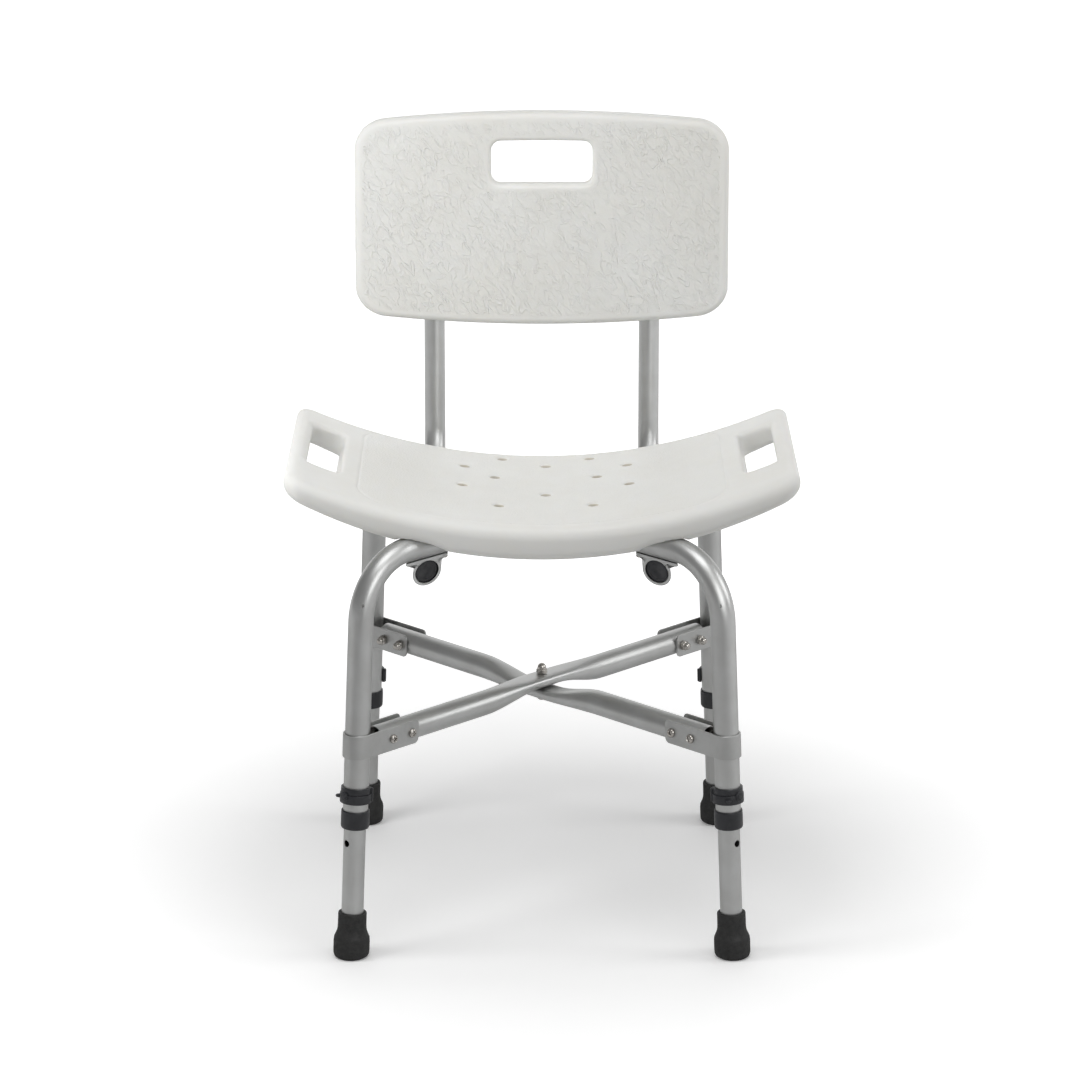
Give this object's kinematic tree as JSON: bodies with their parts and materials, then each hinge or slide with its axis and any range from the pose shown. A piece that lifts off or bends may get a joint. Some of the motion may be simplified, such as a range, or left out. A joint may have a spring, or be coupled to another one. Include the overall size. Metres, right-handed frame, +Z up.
{
  "type": "shower chair",
  "caption": "Shower chair with a curved drained plastic seat, slotted backrest, crossing aluminium arch legs, X-brace, sliding removable back and height-adjustable legs with rubber feet.",
  "frame": {"origin": "on the floor, at the middle of the whole outline", "axes": "+Z up, the chair faces -Y, +X to the right as seen from the front"},
  "size_m": [0.5168, 0.49, 0.7811],
  "materials": {
    "white_plastic": "off-white blow-moulded polyethylene, leather-grained panels with smooth rims",
    "aluminium": "satin anodised",
    "black_plastic": "satin moulded, charcoal",
    "rubber": "matte moulded rubber",
    "stainless": "polished"
  },
  "bodies": {
    "frame": {"seat": "white_plastic", "arch_tube_upper": "aluminium", "arch_tube_lower": "aluminium", "cross_brace_upper": "aluminium", "cross_brace_lower": "aluminium", "cross_bolt": "stainless", "cross_nut": "stainless", "brace_bracket_front_left": "aluminium", "seat_screw_front_left": "stainless", "leg_collar_front_left": "black_plastic", "bracket_screw_front_left_outer": "stainless", "bracket_screw_front_left_inner": "stainless", "bracket_nut_front_left_outer": "stainless", "bracket_nut_front_left_inner": "stainless", "brace_bracket_front_right": "aluminium", "seat_screw_front_right": "stainless", "leg_collar_front_right": "black_plastic", "bracket_screw_front_right_outer": "stainless", "bracket_screw_front_right_inner": "stainless", "bracket_nut_front_right_outer": "stainless", "bracket_nut_front_right_inner": "stainless", "brace_bracket_rear_right": "aluminium", "seat_screw_rear_right": "stainless", "leg_collar_rear_right": "black_plastic", "bracket_screw_rear_right_outer": "stainless", "bracket_screw_rear_right_inner": "stainless", "bracket_nut_rear_right_outer": "stainless", "bracket_nut_rear_right_inner": "stainless", "brace_bracket_rear_left": "aluminium", "seat_screw_rear_left": "stainless", "leg_collar_rear_left": "black_plastic", "bracket_screw_rear_left_outer": "stainless", "bracket_screw_rear_left_inner": "stainless", "bracket_nut_rear_left_outer": "stainless", "bracket_nut_rear_left_inner": "stainless", "back_sleeve_left": "aluminium", "sleeve_plug_left": "black_plastic", "back_sleeve_right": "aluminium", "sleeve_plug_right": "black_plastic"},
    "back": {"backrest": "white_plastic", "back_tube_left": "aluminium", "backrest_screw_left_lower": "stainless", "backrest_screw_left_upper": "stainless", "back_tube_right": "aluminium", "backrest_screw_right_lower": "stainless", "backrest_screw_right_upper": "stainless"},
    "leg_front_left": {"leg_extension_front_left": "aluminium", "foot_front_left": "rubber"},
    "clip_front_left": {"leg_clip_front_left": "black_plastic"},
    "leg_front_right": {"leg_extension_front_right": "aluminium", "foot_front_right": "rubber"},
    "clip_front_right": {"leg_clip_front_right": "black_plastic"},
    "leg_rear_right": {"leg_extension_rear_right": "aluminium", "foot_rear_right": "rubber"},
    "clip_rear_right": {"leg_clip_rear_right": "black_plastic"},
    "leg_rear_left": {"leg_extension_rear_left": "aluminium", "foot_rear_left": "rubber"},
    "clip_rear_left": {"leg_clip_rear_left": "black_plastic"},
    "button_left": {"snap_button_left": "stainless"},
    "button_right": {"snap_button_right": "stainless"}
  },
  "joints": [
    {"name": "leg_front_left_height", "type": "slide", "parent": "frame", "child": "leg_front_left", "axis": [0.0386, 0.0386, 0.9985], "range_m": [-0.0762, 0.0508]},
    {"name": "clip_front_left_pull", "type": "slide", "parent": "frame", "child": "clip_front_left", "axis": [-0.7061, -0.7061, 0.0546], "range_m": [0, 0.008], "stiffness_N_per_m": 1500, "springref_m": -0.002, "deforming": ["leg_clip_front_left"]},
    {"name": "leg_front_right_height", "type": "slide", "parent": "frame", "child": "leg_front_right", "axis": [-0.0386, 0.0386, 0.9985], "range_m": [-0.0762, 0.0508]},
    {"name": "clip_front_right_pull", "type": "slide", "parent": "frame", "child": "clip_front_right", "axis": [0.7061, -0.7061, 0.0546], "range_m": [0, 0.008], "stiffness_N_per_m": 1500, "springref_m": -0.002, "deforming": ["leg_clip_front_right"]},
    {"name": "leg_rear_right_height", "type": "slide", "parent": "frame", "child": "leg_rear_right", "axis": [-0.0386, -0.0386, 0.9985], "range_m": [-0.0762, 0.0508]},
    {"name": "clip_rear_right_pull", "type": "slide", "parent": "frame", "child": "clip_rear_right", "axis": [0.7061, 0.7061, 0.0546], "range_m": [0, 0.008], "stiffness_N_per_m": 1500, "springref_m": -0.002, "deforming": ["leg_clip_rear_right"]},
    {"name": "leg_rear_left_height", "type": "slide", "parent": "frame", "child": "leg_rear_left", "axis": [0.0386, -0.0386, 0.9985], "range_m": [-0.0762, 0.0508]},
    {"name": "clip_rear_left_pull", "type": "slide", "parent": "frame", "child": "clip_rear_left", "axis": [-0.7061, 0.7061, 0.0546], "range_m": [0, 0.008], "stiffness_N_per_m": 1500, "springref_m": -0.002, "deforming": ["leg_clip_rear_left"]},
    {"name": "back_slide", "type": "slide", "parent": "frame", "child": "back", "axis": [0, 1, 0], "range_m": [0, 0.225]},
    {"name": "button_left_press", "type": "slide", "parent": "back", "child": "button_left", "axis": [0, 0, 1], "range_m": [0, 0.005], "stiffness_N_per_m": 1500, "springref_m": -0.002, "deforming": ["snap_button_left"]},
    {"name": "button_right_press", "type": "slide", "parent": "back", "child": "button_right", "axis": [0, 0, 1], "range_m": [0, 0.005], "stiffness_N_per_m": 1500, "springref_m": -0.002, "deforming": ["snap_button_right"]}
  ]
}
